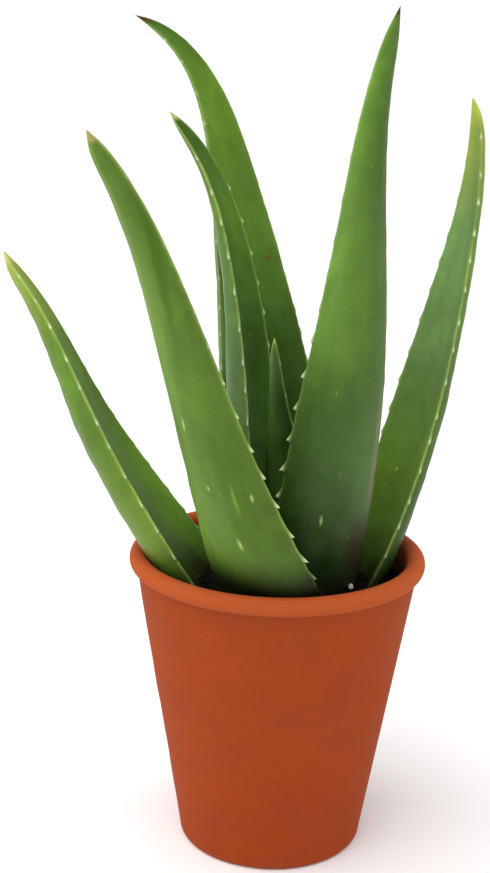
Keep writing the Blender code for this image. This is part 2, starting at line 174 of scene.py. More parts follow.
LEAVES = [
    Leaf("leaf_left", (-0.0250, -0.0075, 0.126), 0.1880, 0.054,
         leans=(36.5, 34.5, 28.0, 47.5), headings=(174, 174, 165), twists=(1, -13), taper=0.80,
         back=(FRESH, BRIGHT, FRESH, FRESH, YELLOWISH),
         face=(GREEN, FRESH, FRESH, FRESH, YELLOWISH),
         tip=((186, 182, 110), 0.007), line=1.0, bloom=0.05,
         flank=(0.5, 0.42, 0.1, 0.0, 0.0), base=(0.50, 0.002, 0.022), teeth=(1.0, 0.65)),
    Leaf("leaf_front_left", (0.0030, -0.0290, 0.124), 0.2415, 0.058,
         leans=(29.0, 19.5, 22.0, 41.0), headings=(241, 202, 221), twists=(-2, -16), taper=0.90,
         back=(GREEN, FRESH, FRESH, FRESH, FRESH),
         face=(DEEP, GREEN, GREEN, GREEN, FRESH),
         tip=((158, 150, 80), 0.005), line=0.55, bloom=0.04,
         flank=(0.5, 0.5, 0.3, 0.33, 0.35), base=(0.05, 0.011, 0.034), teeth=(1.35, 0.42),
         marks=(("back", 0.1113, 0.0034, 0.0072, 0.0024, PALE),
                ("back", 0.1258, 0.0020, 0.0040, 0.0014, STREAK),
                ("back", 0.0822, 0.0079, 0.0034, 0.0018, PALE),
                ("back", 0.0768, 0.0245, 0.0046, 0.0010, PALE),
                ("back", 0.0774, 0.0193, 0.0180, 0.0018, STREAK),
                ("back", 0.0562, 0.0141, 0.0070, 0.0026, PALE),
                # painted shade along a fold of the back
                ("back", 0.1850, 0.0090, 0.1100, 0.0050, PAINTED_SHADE_GREEN))),
    Leaf("leaf_back", (0.0020, 0.0270, 0.128), 0.2920, 0.053,
         leans=(6.0, 13.5, 18.0, 79.0), headings=(121, 136, 150), twists=(6, 19), taper=1.05,
         back=(GREEN, BLUISH, BLUISH, FRESH, GREEN),
         face=(SHADE, SHADE, GREEN, FRESH, DEEP),
         tip=((74, 48, 24), 0.009), line=0.30, bloom=0.12,
         flank=(0.15, 0.15, 0.15, 0.0, -0.1), teeth=(0.70, 0.25),
         # painted light where the face lies in shade beside leaf_inner
         marks=(("face", 0.1250, 0.0215, 0.1300, 0.0090, PAINTED_LIGHT_GREEN),
                ("face", 0.1491, -0.0115, 0.0040, 0.0034, BROWN),
                ("face", 0.1530, -0.0135, 0.0022, 0.0020, BROWN))),
    Leaf("leaf_inner", (-0.0030, 0.0040, 0.1355), 0.2235, 0.044,
         leans=(3.0, 6.5, 15.5, 56.5), headings=(147, 159, 149), twists=(-12, 7), taper=0.90,
         hollow=((0.80, 0.90), (0.50, 0.35)),
         back=(BLUISH, BLUISH, BLUISH, FRESH, GREEN),
         face=(SHADE, DEEP, DEEP, GREEN, DEEP),
         tip=((168, 176, 108), 0.005), line=0.70, bloom=0.10,
         flank=(0.3, 0.3, 0.3, 0.2, 0.25), teeth=(1.30, 0.66)),
    Leaf("leaf_centre", (0.0075, -0.0030, 0.1355), 0.1175, 0.027,
         leans=(4.5, 10.5, 13.5, 8.5), headings=(239, 237, 240), twists=(0, 0), taper=1.05,
         hollow=((0.66, 0.85), (0.40, 0.30)),
         back=(DEEP, DEEP, DEEP, DEEP, BLUISH),
         face=(DEEP, DEEP, DEEP, GREEN, BLUISH),
         tip=((150, 170, 96), 0.003), line=0.60, bloom=0.06,
         flank=(0.0, 0.0, 0.1, 0.6, 0.3), teeth=(0.35, 0.20)),
    Leaf("leaf_front_right", (0.0160, -0.0120, 0.126), 0.2710, 0.049,
         leans=(6.0, 10.5, 5.0, 23.5), headings=(304, 305, 313), twists=(0, 11),
         back=(SHADE, DEEP, GREEN, GREEN, GREEN),
         face=(DEEP, GREEN, GREEN, GREEN, GREEN),
         tip=((76, 44, 26), 0.0045), line=0.40, bloom=0.18,
         flank=(-0.2, -0.25, 0.42, 0.5, 0.3), base=(0.40, 0.002, 0.055), teeth=(1.15, 0.30),
         marks=(("back", 0.0482, -0.0104, 0.0066, 0.0020, PALE),
                ("back", 0.0760, 0.0185, 0.1000, 0.0110, ROSY),
                ("back", 0.0280, 0.0120, 0.0440, 0.0200, PURPLE),
                # painted shade down the right half of the back
                ("back", 0.1500, 0.0120, 0.1300, 0.0080, PAINTED_SHADE_GREEN))),
    Leaf("leaf_right", (0.0350, 0.0035, 0.126), 0.2410, 0.039,
         leans=(24.5, 24.0, 18.5, -11.5), headings=(31, 50, 33), twists=(15, 18), taper=0.70,
         back=(DEEP, DEEP, GREEN, FRESH, YELLOWISH),
         face=(GREEN, FRESH, BLUISH, BLUISH, YELLOWISH),
         tip=((160, 180, 66), 0.011), line=0.70, bloom=0.08,
         flank=(0.0, 0.0, -0.1, -0.1, -0.2), base=(0.55, 0.002, 0.026), teeth=(0.75, 0.75),
         marks=(("face", 0.0603, 0.0024, 0.0030, 0.0018, PALE),)),
]

BLOOM_TONE = paint(122, 148, 98)
MARGIN_TONE = paint(158, 178, 92)
TOOTH_TONE = paint(206, 224, 168)
# soil stain and painted shade, on the leaves just above the soil
SOIL_STAIN_AND_SHADE_TONE = paint(46, 36, 22)

CLAY_TONES = (paint(152, 63, 23), paint(148, 59, 20))
CHALK_TONE = paint(184, 106, 58)
CLAY_FLECK_TONE = paint(98, 38, 20)
WORN_CLAY_TONE = paint(188, 90, 44)
# damp clay darkened further with painted shade
DAMP_AND_SHADED_CLAY_TONE = paint(60, 30, 22)

PEAT_TONES = (paint(12, 9, 7), paint(32, 24, 18))
FIBRE_TONE = paint(78, 58, 40)
GRIT_TONE = paint(150, 142, 128)

FLESH_TONES = (paint(150, 140, 92), paint(120, 146, 78))
PAPERY_TONE = paint(88, 62, 38)
PERLITE_TONES = (paint(222, 218, 206), paint(176, 164, 144))

GROUND_TONE = paint(246, 246, 246)

# The camera, placed from the pot's axis: degrees, and millimetres for lens and sensor.
CAMERA_PLACE = (0.0, -0.6859, 0.3865)
CAMERA_PITCH = 15.27            # downwards
CAMERA_YAW = -1.38
CAMERA_ROLL = 1.363
LENS = 63.26
SENSOR_WIDTH = 36.0

# Softboxes: name, place, size, watts.
SOFTBOXES = (("left_box", (-1.3, 0.15, 0.9), 0.9, 7.0),
             ("right_box", (1.4, 0.4, 0.8), 0.8, 4.5))
LIT_HEIGHT = 0.22               # the height on the pot's axis that they face
OVERHEAD_STRENGTH = 1.5
OVERHEAD_SPREAD = 50.0
OVERHEAD_TURN = (22.0, -16.0, 0.0)
HORIZON_STRENGTH = 1.15
ZENITH_STRENGTH = 0.55
FLOOR_RADIUS = 40.0


# -------------------------------------------------------------- smooth curves

def smooth_curve(stations, values, at):
    """Values between the stations, on a smooth curve that never overshoots."""
    x = np.asarray(stations, float)
    y = np.asarray(values, float)
    at = np.asarray(at, float)
    step = np.diff(x)
    rise = np.diff(y) / step
    slope = np.zeros(len(x))
    for k in range(1, len(x) - 1):
        if rise[k - 1] * rise[k] > 0.0:
            before = 2.0 * step[k] + step[k - 1]
            after = step[k] + 2.0 * step[k - 1]
            slope[k] = (before + after) / (before / rise[k - 1] + after / rise[k])
    slope[0] = end_slope(step[0], step[1], rise[0], rise[1])
    slope[-1] = end_slope(step[-1], step[-2], rise[-1], rise[-2])
    k = np.clip(np.searchsorted(x, at, side="right") - 1, 0, len(step) - 1)
    t = (at - x[k]) / step[k]
    return ((1 + 2 * t) * (1 - t) ** 2 * y[k] + t * (1 - t) ** 2 * step[k] * slope[k]
            + t * t * (3 - 2 * t) * y[k + 1] + t * t * (t - 1) * step[k] * slope[k + 1])


def end_slope(near_step, next_step, near_rise, next_rise):
    """Slope at the first or last station, kept from overshooting."""
    slope = ((2 * near_step + next_step) * near_rise - near_step * next_rise)
    slope /= near_step + next_step
    if slope * near_rise <= 0.0:
        return 0.0
    if near_rise * next_rise <= 0.0 and abs(slope) > 3.0 * abs(near_rise):
        return 3.0 * near_rise
    return slope


def even_curve(values, at):
    """As smooth_curve, with evenly spaced stations; two values are a straight line."""
    if len(values) == 2:
        return values[0] + (values[1] - values[0]) * np.asarray(at, float)
    return smooth_curve(np.linspace(0.0, 1.0, len(values)), values, at)


def ripples(seed, first, second, longest, count=7):
    """A smooth uneven surface over two coordinates, from -1 to 1 or so."""
    chance = Random(seed)
    total = np.zeros(np.broadcast(first, second).shape)
    for k in range(count):
        pitch = longest / (1.0 + 0.75 * k)
        turn = chance.uniform(0.0, 2.0 * pi)
        phase = chance.uniform(0.0, 2.0 * pi)
        along = first * cos(turn) + second * sin(turn)
        total = total + np.sin(2.0 * pi * along / pitch + phase) / (1.0 + 0.5 * k)
    return total / 2.2


# ------------------------------------------------------------------- shaders

class Shader:
    """A material's nodes, made with one short call each."""

    def __init__(self, name):
        self.material = bpy.data.materials.new(name)
        self.material.use_nodes = True
        self.nodes = self.material.node_tree.nodes
        self.links = self.material.node_tree.links
        self.surface = self.nodes["Principled BSDF"]

    def feed(self, socket, value):
        """Link an output to a socket, or set the socket's own value."""
        if isinstance(value, bpy.types.NodeSocket):
            self.links.new(value, socket)
        else:
            socket.default_value = value

    def set(self, **inputs):
        """Feed the Principled shader's inputs; an underscore stands for a space."""
        for name, value in inputs.items():
            self.feed(self.surface.inputs[name.replace("_", " ")], value)

    def attribute(self, name, output="Fac"):
        node = self.nodes.new("ShaderNodeAttribute")
        node.attribute_name = name
        return node.outputs[output]

    def object_place(self):
        return self.nodes.new("ShaderNodeTexCoord").outputs["Object"]

    def stretched(self, vector, scale, shift=(0.0, 0.0, 0.0)):
        """The vector moved by shift, then scaled on each axis."""
        node = self.nodes.new("ShaderNodeMapping")
        self.feed(node.inputs["Vector"], vector)
        node.inputs["Location"].default_value = [a * b for a, b in zip(shift, scale)]
        node.inputs["Scale"].default_value = scale
        return node.outputs["Vector"]

    def noise(self, vector, scale, detail=3.0, roughness=0.5, distortion=0.0):
        node = self.nodes.new("ShaderNodeTexNoise")
        self.feed(node.inputs["Vector"], vector)
        node.inputs["Scale"].default_value = scale
        node.inputs["Detail"].default_value = detail
        node.inputs["Roughness"].default_value = roughness
        node.inputs["Distortion"].default_value = distortion
        return node.outputs["Fac"]

    def cells(self, vector, scale):
        node = self.nodes.new("ShaderNodeTexVoronoi")
        self.feed(node.inputs["Vector"], vector)
        node.inputs["Scale"].default_value = scale
        return node.outputs["Distance"]

    def span(self, value, low, high, new_low=0.0, new_high=1.0):
        """The value's stretch from low to high, mapped to the new range and clamped."""
        node = self.nodes.new("ShaderNodeMapRange")
        node.interpolation_type = "SMOOTHSTEP"
        self.feed(node.inputs["Value"], value)
        node.inputs["From Min"].default_value = low
        node.inputs["From Max"].default_value = high
        node.inputs["To Min"].default_value = new_low
        node.inputs["To Max"].default_value = new_high
        return node.outputs["Result"]

    def sum(self, operation, first, second=0.0):
        node = self.nodes.new("ShaderNodeMath")
        node.operation = operation
        self.feed(node.inputs[0], first)
        self.feed(node.inputs[1], second)
        return node.outputs["Value"]

    def length(self, vector):
        node = self.nodes.new("ShaderNodeVectorMath")
        node.operation = "LENGTH"
        self.feed(node.inputs[0], vector)
        return node.outputs["Value"]

    def mix(self, share, first, second, blend="MIX"):
        node = self.nodes.new("ShaderNodeMix")
        node.data_type = "RGBA"
        node.blend_type = blend
        self.feed(node.inputs["Factor"], share)
        colours = [socket for socket in node.inputs if socket.type == "RGBA"]
        self.feed(colours[0], first)
        self.feed(colours[1], second)
        return next(socket for socket in node.outputs if socket.type == "RGBA")

    def shaded(self, colour, share):
        """The colour made darker or lighter by a share that is 1 where it stays."""
        grey = self.nodes.new("ShaderNodeCombineColor")
        for socket in grey.inputs[:3]:
            self.feed(socket, share)
        return self.mix(1.0, colour, grey.outputs["Color"], "MULTIPLY")

    def bump(self, height, distance, strength=1.0, before=None):
        node = self.nodes.new("ShaderNodeBump")
        self.feed(node.inputs["Height"], height)
        node.inputs["Distance"].default_value = distance
        node.inputs["Strength"].default_value = strength
        if before is not None:
            self.feed(node.inputs["Normal"], before)
        return node.outputs["Normal"]


def leaf_material(leaf):
    """Waxy aloe skin: fine grain along the leaf, flecks, a pale margin and a dry tip."""
    skin = Shader(leaf.name + "_skin")
    flat = skin.attribute("flat", "Vector")
    face = skin.attribute("face")
    along = skin.attribute("from_tip")
    rise = skin.attribute("rise")

    streaks = skin.noise(skin.stretched(flat, (1.0, 1.0, 0.045)), 750.0, 4.0, 0.6)
    bands = skin.noise(skin.stretched(flat, (1.0, 1.0, 0.10)), 130.0, 3.0, 0.55)
    blotches = skin.noise(skin.stretched(flat, (1.0, 1.0, 0.62)), 75.0, 5.0, 0.62, 0.6)
    grain = skin.noise(flat, 1700.0, 2.0, 0.5)
    cloud = skin.noise(flat, 14.0, 2.0, 0.5)

    colour = skin.attribute("tone", "Color")
    colour = skin.shaded(colour, skin.span(cloud, 0.30, 0.70, 0.88, 1.12))
    colour = skin.shaded(colour, skin.span(blotches, 0.30, 0.72, 0.86, 1.14))
    colour = skin.shaded(colour, skin.span(bands, 0.32, 0.68, 0.95, 1.05))
    colour = skin.shaded(colour, skin.span(streaks, 0.30, 0.70, 0.96, 1.04))
    colour = skin.shaded(colour, skin.span(grain, 0.25, 0.75, 0.94, 1.06))

    bloom_place = skin.stretched(flat, (1.0, 1.0, 0.5), (3.1, 0.0, 0.0))
    bloom = skin.span(skin.noise(bloom_place, 30.0, 5.0, 0.65), 0.40, 0.78, 0.0, leaf.bloom)
    colour = skin.mix(bloom, colour, BLOOM_TONE)

    fleck_cells = skin.stretched(flat, (1.0, 1.0, 0.42))
    fleck = skin.span(skin.cells(fleck_cells, 230.0), 0.16, 0.08)
    chosen = skin.span(skin.noise(fleck_cells, 210.0, 0.0), 0.66, 0.72)
    speckle = skin.sum("MULTIPLY", fleck, chosen)
    colour = skin.mix(skin.sum("MULTIPLY", speckle, 0.22), colour, paint(*PALE))

    for side, distance, across, length, width, tone in leaf.marks:
        place = skin.stretched(flat, (2.0 / width, 0.0, 2.0 / length), (-across, 0.0, -distance))
        spot = skin.span(skin.length(place), 1.15, 0.15, 0.0, 0.85)
        seen = face if side == "face" else skin.sum("SUBTRACT", 1.0, face)
        colour = skin.mix(skin.sum("MULTIPLY", spot, seen), colour, paint(*tone))

    broken = skin.span(blotches, 0.30, 0.70, 0.45 * leaf.line, leaf.line)
    colour = skin.mix(skin.sum("MULTIPLY", skin.attribute("edge"), broken), colour, MARGIN_TONE)
    colour = skin.mix(skin.span(skin.attribute("tooth"), 0.06, 0.85), colour, TOOTH_TONE)

    tip_tone, tip_reach = leaf.tip
    ragged = skin.sum("ADD", along, skin.span(blotches, 0.3, 0.7, -0.0012, 0.0012))
    colour = skin.mix(skin.span(ragged, tip_reach * 1.25, tip_reach * 0.55), colour, paint(*tip_tone))
    # painted shade at the leaf's foot, fading out with height above the soil
    base_light, base_start, base_end = leaf.base
    colour = skin.shaded(colour, skin.span(rise, base_start, base_end, base_light, 1.0))
    # brown near the soil: partly soil stain, partly painted shade at the leaves' feet
    soil_stain_and_shade = skin.span(skin.sum("ADD", rise, skin.span(bands, 0.3, 0.7, -0.003, 0.003)),
                           0.009, -0.001, 0.0, 0.75)
    colour = skin.mix(soil_stain_and_shade, colour, SOIL_STAIN_AND_SHADE_TONE)
    skin.set(Base_Color=colour)

    roughness = skin.sum("ADD", skin.span(blotches, 0.3, 0.7, 0.40, 0.54),
                         skin.span(streaks, 0.3, 0.7, -0.04, 0.05))
    roughness = skin.sum("ADD", roughness, skin.sum("MULTIPLY", bloom, 0.25))
    skin.set(Roughness=roughness)
    normal = skin.bump(bands, 0.00035, 0.55)
    normal = skin.bump(streaks, 0.00012, 0.55, normal)
    normal = skin.bump(grain, 0.00005, 0.40, normal)
    normal = skin.bump(speckle, 0.00012, 0.50, normal)
    skin.set(Normal=normal)
    skin.set(Subsurface_Weight=0.08, Subsurface_Scale=0.004)
    skin.set(Specular_IOR_Level=skin.span(face, 0.0, 1.0, 0.15, 0.03))
    skin.surface.inputs["Subsurface Radius"].default_value = (0.45, 1.0, 0.20)
    return skin.material


def terracotta_material():
    """Fired clay: mottled orange-brown, fine grain, faint turning lines, chalky bloom."""
    clay = Shader("fired_clay")
    place = clay.object_place()
    mottle = clay.noise(place, 38.0, 5.0, 0.62, 0.3)
    patches = clay.noise(place, 11.0, 3.0, 0.5)
    grain = clay.noise(place, 1300.0, 3.0, 0.7)
    sand = clay.cells(place, 900.0)
    turning = clay.noise(clay.stretched(place, (0.02, 0.02, 1.0)), 420.0, 4.0, 0.65)

    colour = clay.mix(clay.span(patches, 0.35, 0.68), *CLAY_TONES)
    colour = clay.shaded(colour, clay.span(mottle, 0.30, 0.70, 0.95, 1.05))
    colour = clay.shaded(colour, clay.span(grain, 0.30, 0.70, 0.92, 1.08))
    colour = clay.shaded(colour, clay.span(turning, 0.30, 0.70, 0.98, 1.02))
    chalk = clay.span(clay.noise(place, 55.0, 6.0, 0.7, 0.5), 0.56, 0.80, 0.0, 0.14)
    colour = clay.mix(chalk, colour, CHALK_TONE)
    fleck = clay.sum("MULTIPLY", clay.span(sand, 0.20, 0.10), clay.span(grain, 0.55, 0.66, 0.0, 0.6))
    colour = clay.mix(fleck, colour, CLAY_FLECK_TONE)
    worn = clay.attribute("worn")
    colour = clay.mix(clay.sum("MULTIPLY", worn, 0.50), colour, WORN_CLAY_TONE)
    # damp clay with painted shade on the inner wall, and a painted shadow line under the bead
    damp = clay.attribute("damp")
    colour = clay.mix(clay.sum("MULTIPLY", damp, 0.80), colour, DAMP_AND_SHADED_CLAY_TONE)
    clay.set(Base_Color=colour)
    clay.set(Roughness=clay.span(mottle, 0.3, 0.7, 0.74, 0.90))
    normal = clay.bump(turning, 0.00010, 0.35)
    normal = clay.bump(mottle, 0.00018, 0.30, normal)
    normal = clay.bump(grain, 0.00010, 0.55, normal)
    clay.set(Normal=normal)
    clay.set(Specular_IOR_Level=0.12)
    return clay.material


def soil_material():
    """Dark moist peat with fibres and small pale specks."""
    peat = Shader("moist_peat")
    place = peat.object_place()
    lumps = peat.noise(place, 420.0, 6.0, 0.7)
    fibre = peat.noise(peat.stretched(place, (1.0, 0.25, 1.0)), 900.0, 3.0, 0.6, 0.8)
    colour = peat.mix(peat.span(lumps, 0.35, 0.70), *PEAT_TONES)
    colour = peat.mix(peat.span(fibre, 0.62, 0.75, 0.0, 0.6), colour, FIBRE_TONE)
    colour = peat.shaded(colour, peat.attribute("tone"))
    grit = peat.span(peat.cells(place, 260.0), 0.13, 0.07)
    grit = peat.sum("MULTIPLY", grit, peat.span(peat.noise(place, 150.0, 0.0), 0.70, 0.75))
    colour = peat.mix(grit, colour, GRIT_TONE)
    peat.set(Base_Color=colour)
    peat.set(Roughness=peat.span(lumps, 0.3, 0.7, 0.80, 0.97))
    normal = peat.bump(lumps, 0.0008, 0.8)
    peat.set(Normal=peat.bump(fibre, 0.0003, 0.6, normal))
    peat.set(Specular_IOR_Level=0.05)
    return peat.material


def crown_material():
    """Pale leaf-base flesh, streaked, with brown papery remains near the soil."""
    flesh = Shader("leaf_base_flesh")
    place = flesh.object_place()
    streaks = flesh.noise(flesh.stretched(place, (1.0, 1.0, 0.15)), 520.0, 4.0, 0.6)
    blotches = flesh.noise(place, 90.0, 4.0, 0.6)
    rise = flesh.attribute("rise")
    colour = flesh.mix(flesh.span(rise, 0.0, 0.015), *FLESH_TONES)
    colour = flesh.shaded(colour, flesh.span(streaks, 0.3, 0.7, 0.84, 1.14))
    ragged = flesh.sum("ADD", rise, flesh.span(blotches, 0.3, 0.7, -0.006, 0.006))
    colour = flesh.mix(flesh.span(ragged, 0.009, -0.001, 0.0, 0.9), colour, PAPERY_TONE)
    flesh.set(Base_Color=colour)
    flesh.set(Roughness=flesh.span(blotches, 0.3, 0.7, 0.48, 0.70))
    normal = flesh.bump(streaks, 0.0003, 0.6)
    flesh.set(Normal=flesh.bump(blotches, 0.0004, 0.5, normal))
    flesh.set(Subsurface_Weight=0.12, Subsurface_Scale=0.004)
    return flesh.material


def perlite_material():
    """Expanded volcanic glass: chalk white, pitted."""
    grain = Shader("expanded_perlite")
    place = grain.object_place()
    pits = grain.cells(place, 1500.0)
    dust = grain.noise(place, 700.0, 4.0, 0.6)
    colour = grain.mix(grain.span(dust, 0.45, 0.75), *PERLITE_TONES)
    # darker in the pits: painted shade
    colour = grain.shaded(colour, grain.span(pits, 0.0, 0.35, 0.72, 1.0))
    grain.set(Base_Color=colour)
    grain.set(Roughness=grain.span(dust, 0.3, 0.7, 0.82, 0.96))
    grain.set(Normal=grain.bump(pits, 0.0004, 0.8))
    return grain.material


# -------------------------------------------------------------------- meshes

def add_piece(name, mesh, material, slot, *nodes):
    """Put a mesh in the scene as the piece that stands for these nodes of the model."""
    piece = bpy.data.objects.new(name, mesh)
    bpy.context.collection.objects.link(piece)
    mesh.materials.append(material)
    mesh.shade_smooth()
    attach(piece, "root")
    if nodes:
        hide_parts(*nodes)
    return piece


def set_attribute(mesh, name, values):
    """Store one number, vector or colour for each vertex."""
    values = np.asarray(values, np.float32)
    kind, field = "FLOAT", "value"
    if values.ndim > 1:
        kind, field = ("FLOAT_COLOR", "color") if values.shape[1] == 4 else ("FLOAT_VECTOR", "vector")
    mesh.attributes.new(name, kind, "POINT").data.foreach_set(field, values.ravel())


def grid_faces(rings, sides):
    """Quads between rings of points that run round, as rows of four indices."""
    ring = np.arange(rings - 1)[:, None] * sides
    side = np.arange(sides)[None, :]
    after = (side + 1) % sides
    faces = np.stack([ring + side, ring + after, ring + sides + after, ring + sides + side], -1)
    return faces.reshape(-1, 4)


class Growth:
    """A leaf's line and the directions of its width and face at any station."""

    def __init__(self, leaf):
        self.leaf = leaf
        t = np.linspace(0.0, 1.0, SPINE_STEPS + 1)
        along = self.directions(t)[0]
        steps = (along[1:] + along[:-1]) / 2.0 * leaf.length / SPINE_STEPS
        start = np.array(leaf.root) + np.array(AXIS)
        self.stations = t
        self.line = np.vstack([np.zeros(3), np.cumsum(steps, axis=0)]) + start

    def directions(self, t):
        """Unit vectors along the leaf, across it, and out of its inner face."""
        leaf = self.leaf
        lean = np.radians(even_curve(leaf.leans, t))
        heading = np.radians(even_curve(leaf.headings, t))
        twist = np.radians(even_curve(leaf.twists, t))
        along = np.stack([np.sin(lean) * np.cos(heading),
                          np.sin(lean) * np.sin(heading),
                          np.cos(lean)], axis=-1)
        flat_face = np.stack([-np.cos(lean) * np.cos(heading),
                              -np.cos(lean) * np.sin(heading),
                              np.sin(lean)], axis=-1)
        level = np.stack([-np.sin(heading), np.cos(heading), np.zeros_like(heading)], axis=-1)
        c = np.cos(twist)[..., None]
        s = np.sin(twist)[..., None]
        return along, c * level - s * flat_face, c * flat_face + s * level

    def place(self, t):
        """The leaf's line at stations t."""
        return np.stack([np.interp(t, self.stations, self.line[:, k]) for k in range(3)], -1)

    def half_width(self, t):
        """Half the leaf's width at stations t."""
        shares = np.clip(smooth_curve(WIDTH_STATIONS, WIDTH_SHARES, t), 0.0, None)
        return self.leaf.width / 2.0 * shares ** self.leaf.taper


def tooth_places(leaf, margin):
    """Distances along the leaf of one margin's teeth, unevenly spaced."""
    chance = Random(leaf.name + margin)
    places = []
    place = TOOTH_START + chance.uniform(0.0, 0.4) * TOOTH_SPACING
    while place < leaf.length * TOOTHED_SHARE:
        places.append(place)
        wider = 0.90 + 0.30 * place / leaf.length
        place += TOOTH_SPACING * wider * chance.uniform(0.82, 1.22)
    return places


def tooth_lift(leaf, margin, distances):
    """How far each ring stands out into a tooth, from 0 to 1 at a tooth's point."""
    chance = Random(margin + leaf.name)
    lift = np.zeros(len(distances))
    for place in tooth_places(leaf, margin):
        away = distances - distances[np.argmin(np.abs(distances - place))]
        reach = np.where(away < 0.0, TOOTH_BELOW, TOOTH_ABOVE)
        tooth = np.clip(1.0 - np.abs(away) / reach, 0.0, 1.0) ** 1.5
        lift = np.maximum(lift, tooth * chance.uniform(0.75, 1.08))
    return lift


def leaf_section(leaf, growth, t):
    """Section points (across, out of the face) of every ring, margin to margin and back."""
    back_turn = pi * (1.0 - np.cos(pi * np.arange(BACK_STEPS) / BACK_STEPS)) / 2.0
    face_turn = pi + pi * np.arange(FACE_STEPS) / FACE_STEPS
    half = growth.half_width(t)[:, None]
    (back_low, back_high), (face_low, face_high) = leaf.hollow
    depth = half * (back_low + (back_high - back_low) * t[:, None])
    channel = half * (face_low + (face_high - face_low) * t[:, None])
    edge = np.minimum(MARGIN_ROUNDING, 0.22 * half)
    side = np.cos(face_turn)[None, :]
    distance = t[:, None] * leaf.length

    ribs = 0.00010 * np.cos(11.0 * back_turn[None, :] + 9.0 * t[:, None])
    uneven = 0.00050 * ripples(leaf.name, half * np.cos(back_turn), distance, 0.055)
    swell = (ribs + uneven) * np.sin(back_turn)[None, :] * np.minimum(1.0, half / 0.010)
    back_out = -edge - (depth - edge) * np.sin(back_turn)[None, :] - swell
    uneven = 0.00040 * ripples("face" + leaf.name, half * side, distance, 0.045)
    rounding = np.sqrt(np.clip(1.0 - side ** 14, 0.0, 1.0))
    face_out = -channel * (1.0 - side * side) - edge + edge * rounding
    face_out = face_out + uneven * (1.0 - side * side) * np.minimum(1.0, half / 0.010)

    wander = 1.0 + 0.010 * ripples("edge" + leaf.name, distance, 0.0 * distance, 0.030)
    across = half * wander * np.concatenate([np.cos(back_turn), np.cos(face_turn)])[None, :]
    return across, np.concatenate([back_out, face_out], axis=1)


def leaf_mesh(leaf):
    """A leaf's skin: rings of section points, toothed margins, a pointed tip."""
    growth = Growth(leaf)
    rings = int(leaf.length / RING_SPACING)
    sides = BACK_STEPS + FACE_STEPS
    t = np.arange(rings) / rings
    distances = t * leaf.length
    across, out = leaf_section(leaf, growth, t)
    upward = np.zeros_like(across)
    tooth = np.zeros_like(across)
    edge = np.zeros_like(across)
    largest, fade_start = leaf.teeth
    fade = 1.0 - TOOTH_FADE * np.clip((t - fade_start) / TOOTH_FADE_REACH, 0.0, 1.0)
    size = TOOTH_LENGTH * largest * (1.0 - 0.25 * t) * fade
    for margin, index, outward in (("near", 0, 1.0), ("far", BACK_STEPS, -1.0)):
        gap = np.hypot(across - across[:, index:index + 1], out - out[:, index:index + 1])
        lift = tooth_lift(leaf, margin, distances)[:, None]
        share = lift * np.clip(1.0 - gap / TOOTH_THICKNESS, 0.0, 1.0) ** 1.2
        tooth = np.maximum(tooth, share * np.minimum(1.0, 0.35 + fade[:, None]))
        edge = np.maximum(edge, np.exp(-(gap / MARGIN_LINE) ** 2))
        across = across + outward * share * size[:, None]
        upward = upward - TOOTH_LEAN * share * lift * size[:, None]

    along, width_way, face_way = growth.directions(t)
    points = growth.place(t)[:, None, :] + along[:, None, :] * upward[..., None]
    points = points + width_way[:, None, :] * across[..., None]
    points = points + face_way[:, None, :] * out[..., None]
    tip = growth.place(np.array([1.0]))
    skin = np.vstack([points.reshape(-1, 3), tip, points[0].mean(axis=0)[None, :]])
    count = rings * sides
    faces = grid_faces(rings, sides).tolist()
    last = (rings - 1) * sides
    faces += [[last + k, last + (k + 1) % sides, count] for k in range(sides)]
    faces += [[(k + 1) % sides, k, count + 1] for k in range(sides)]

    mesh = bpy.data.meshes.new(leaf.name + "_skin")
    mesh.from_pydata(skin.tolist(), [], faces)
    turn_outwards(mesh)
    ends = [leaf.length, 0.0]
    flat = np.stack([across, out, np.broadcast_to(distances[:, None], across.shape)], -1)
    flat = np.vstack([flat.reshape(-1, 3), [[0.0, 0.0, end] for end in ends]])
    face_share = np.concatenate([np.zeros(BACK_STEPS), np.ones(FACE_STEPS)])
    face_share[[0, BACK_STEPS]] = 0.5
    face_share = np.append(np.tile(face_share, rings), [0.5, 0.5])
    stations = np.append(np.repeat(t, sides), [1.0, 0.0])
    set_attribute(mesh, "flat", flat)
    set_attribute(mesh, "face", face_share)
    set_attribute(mesh, "from_tip", leaf.length * (1.0 - stations))
    set_attribute(mesh, "rise", skin[:, 2] - SOIL_TOP)
    set_attribute(mesh, "tooth", np.append(tooth.ravel(), [0.0, 0.0]))
    set_attribute(mesh, "edge", np.append(edge.ravel(), [0.0, 0.0]))
    flanks = np.append((across / growth.half_width(t)[:, None].clip(1e-6)).ravel(), [0.0, 0.0])
    set_attribute(mesh, "tone", leaf_tones(leaf, stations, face_share, flanks))
    return mesh


def leaf_tones(leaf, stations, face_share, flanks):
    """The leaf's colour at each vertex, from its stations on the back and the face."""
    # flank: painted shade on one half of the leaf and painted light on the other
    shade = np.exp(-np.clip(flanks, -1.0, 1.0) * even_curve(leaf.flank, stations))
    backs = np.array([paint(*tone) for tone in leaf.back])
    faces = np.array([paint(*tone) for tone in leaf.face])
    even = np.linspace(0.0, 1.0, len(backs))
    tones = np.empty((len(stations), 4))
    for channel in range(4):
        back = np.interp(stations, even, backs[:, channel])
        face = np.interp(stations, even, faces[:, channel])
        tones[:, channel] = back + (face - back) * face_share
    tones[:, :3] *= shade[:, None]
    return tones


def turn_outwards(mesh):
    """Reverse the faces of a closed mesh that is inside out."""
    bm = bmesh.new()
    bm.from_mesh(mesh)
    if bm.calc_volume(signed=True) < 0.0:
        bmesh.ops.reverse_faces(bm, faces=bm.faces)
    bm.to_mesh(mesh)
    bm.free()


